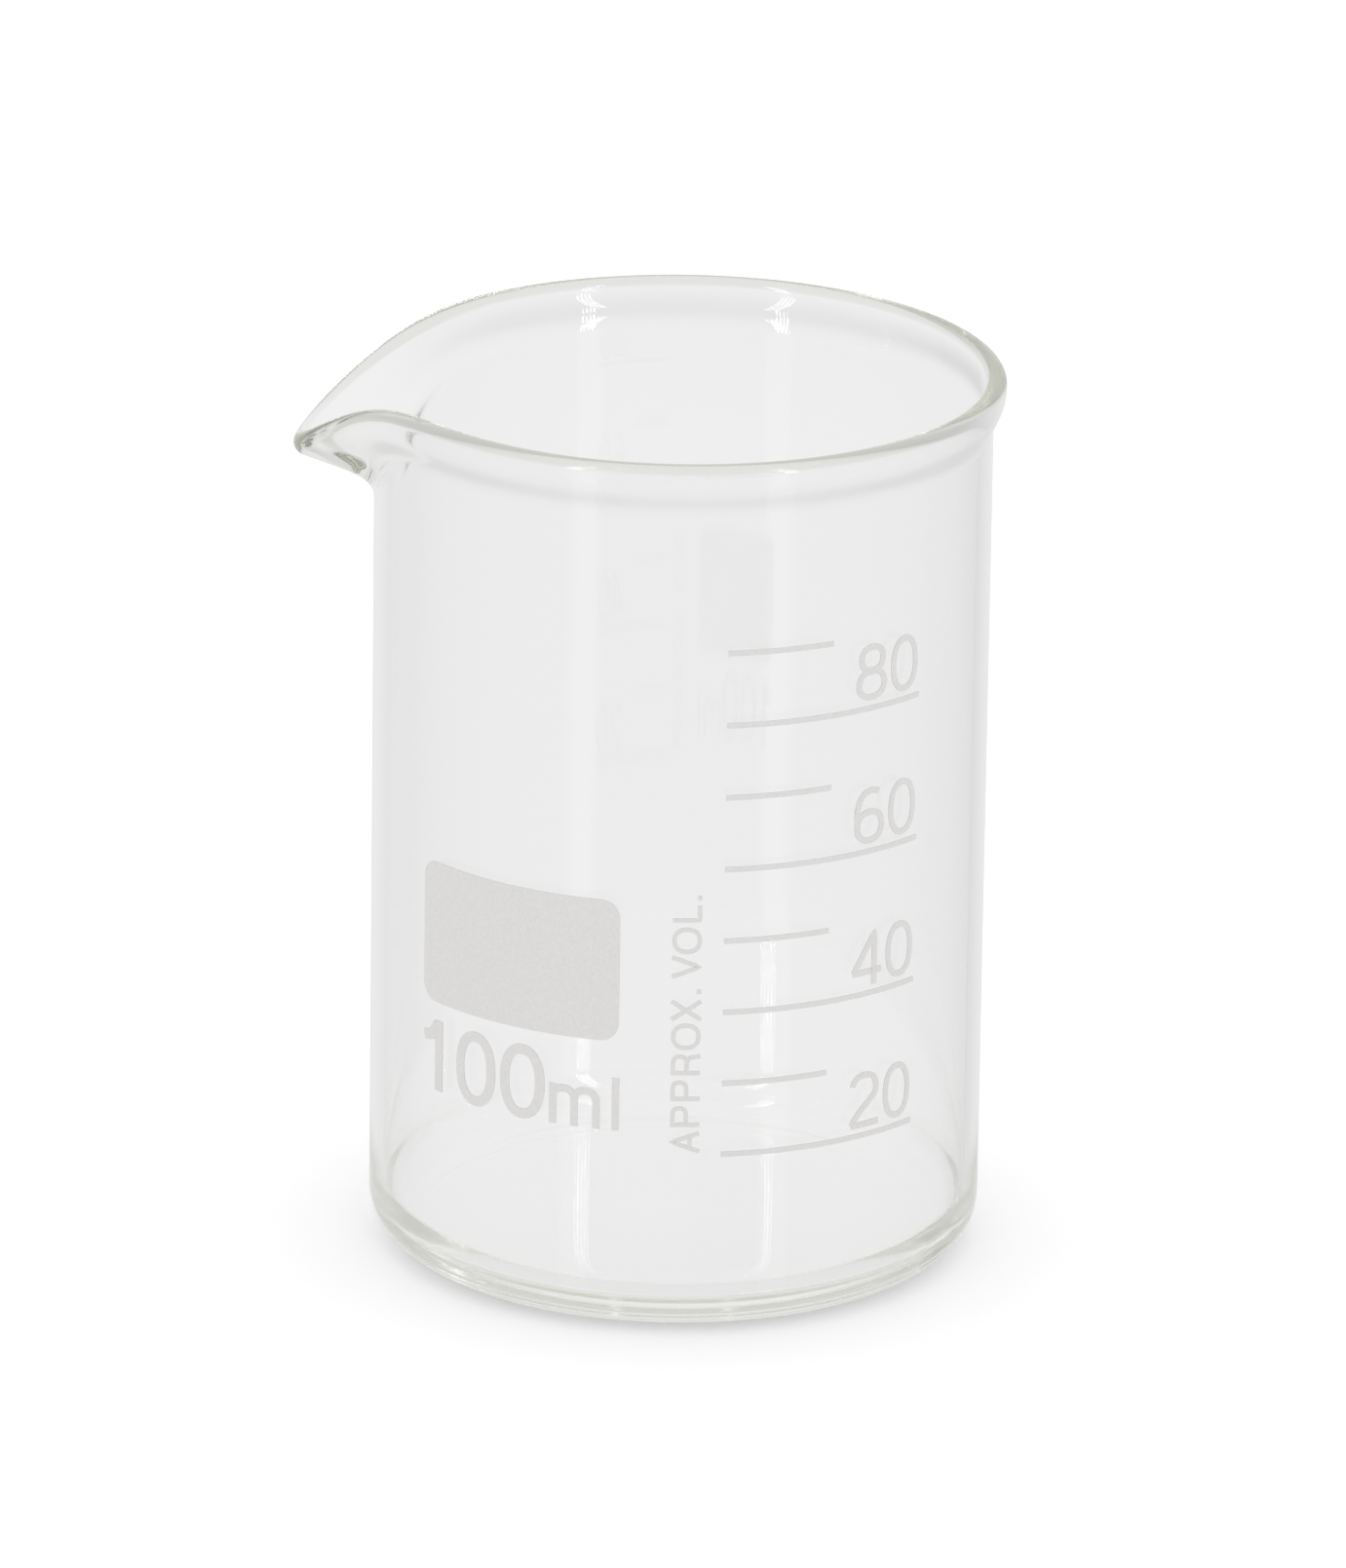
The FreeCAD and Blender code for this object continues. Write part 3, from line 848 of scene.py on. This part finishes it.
class BEAKER_OT_stage(bpy.types.Operator):
    """Adds the table, the studio light and the camera"""
    bl_idname = "beaker.stage"
    bl_label = "Add stage"

    def execute(self, context):
        studio = context.scene.beaker_studio
        context.scene.view_settings.view_transform = "Standard"
        context.scene.cycles.max_bounces = BOUNCES
        context.scene.cycles.glossy_bounces = BOUNCES
        context.scene.cycles.transmission_bounces = BOUNCES
        corners = [(x * TABLE_REACH, y * TABLE_REACH, 0) for x, y in ((-1, -1), (1, -1), (1, 1), (-1, 1))]
        table = new_object("table", corners, [(0, 1, 2, 3)], table_material(studio.seen_through))
        table.location.z = -TABLE_GAP
        studio_world(studio.seen_through)
        toward_camera = studio.azimuth - pi / 2
        for name, side in (("left", -1), ("right", 1)):
            direction = toward_camera + side * studio.strip_angle
            for tube in range(TUBES):
                turn = (tube - (TUBES - 1) / 2) * TUBE_STEP
                strip_light(f"strip_{name}_{tube}", direction + turn, TUBE_HEIGHTS, TUBE_WIDTH,
                            studio.strip_strength)
            strip_light(f"low_strip_{name}", direction, LOW_STRIP_HEIGHTS, LOW_STRIP_WIDTH,
                        studio.low_strip_strength)
        lens = bpy.data.cameras.new("photo_camera")
        lens.sensor_width = SENSOR_MM
        # The frame is upright, so the sensor's width lies along its height
        lens.lens = FRAME_FOCAL / FRAME_HEIGHT * lens.sensor_width
        lens.clip_start = 0.01
        camera = bpy.data.objects.new("photo_camera", lens)
        context.scene.collection.objects.link(camera)
        camera.matrix_world = photo_camera(studio)
        context.scene.camera = camera
        return {"FINISHED"}


class BEAKER_PT_sidebar(bpy.types.Panel):
    """Sizes and build buttons in the 3D view's sidebar"""
    bl_label = "Beaker"
    bl_space_type = "VIEW_3D"
    bl_region_type = "UI"
    bl_category = "Beaker"

    def draw(self, context):
        groups = (
            (context.scene.beaker_glass, ("beaker.glass",)),
            (context.scene.beaker_print, ("beaker.scale", "beaker.panel")),
            (context.scene.beaker_studio, ("beaker.stage",)),
        )
        for settings, operators in groups:
            box = self.layout.box()
            for name in settings.__annotations__:
                box.prop(settings, name)
            for operator in operators:
                box.operator(operator)


CLASSES = (
    GlassSizes, PrintSizes, StudioSettings,
    BEAKER_OT_glass, BEAKER_OT_scale, BEAKER_OT_panel, BEAKER_OT_stage, BEAKER_PT_sidebar,
)


def register():
    """Adds the classes and the scene's sizes and settings."""
    for cls in CLASSES:
        bpy.utils.register_class(cls)
    bpy.types.Scene.beaker_glass = bpy.props.PointerProperty(type=GlassSizes)
    bpy.types.Scene.beaker_print = bpy.props.PointerProperty(type=PrintSizes)
    bpy.types.Scene.beaker_studio = bpy.props.PointerProperty(type=StudioSettings)


def unregister():
    """Takes them away again, in the reverse order."""
    del bpy.types.Scene.beaker_studio
    del bpy.types.Scene.beaker_print
    del bpy.types.Scene.beaker_glass
    for cls in reversed(CLASSES):
        bpy.utils.unregister_class(cls)


def main():
    """Builds the pieces and the stage."""
    register()
    bpy.ops.beaker.glass()
    bpy.ops.beaker.scale()
    bpy.ops.beaker.panel()
    bpy.ops.beaker.stage()


if __name__ == "__main__":
    main()
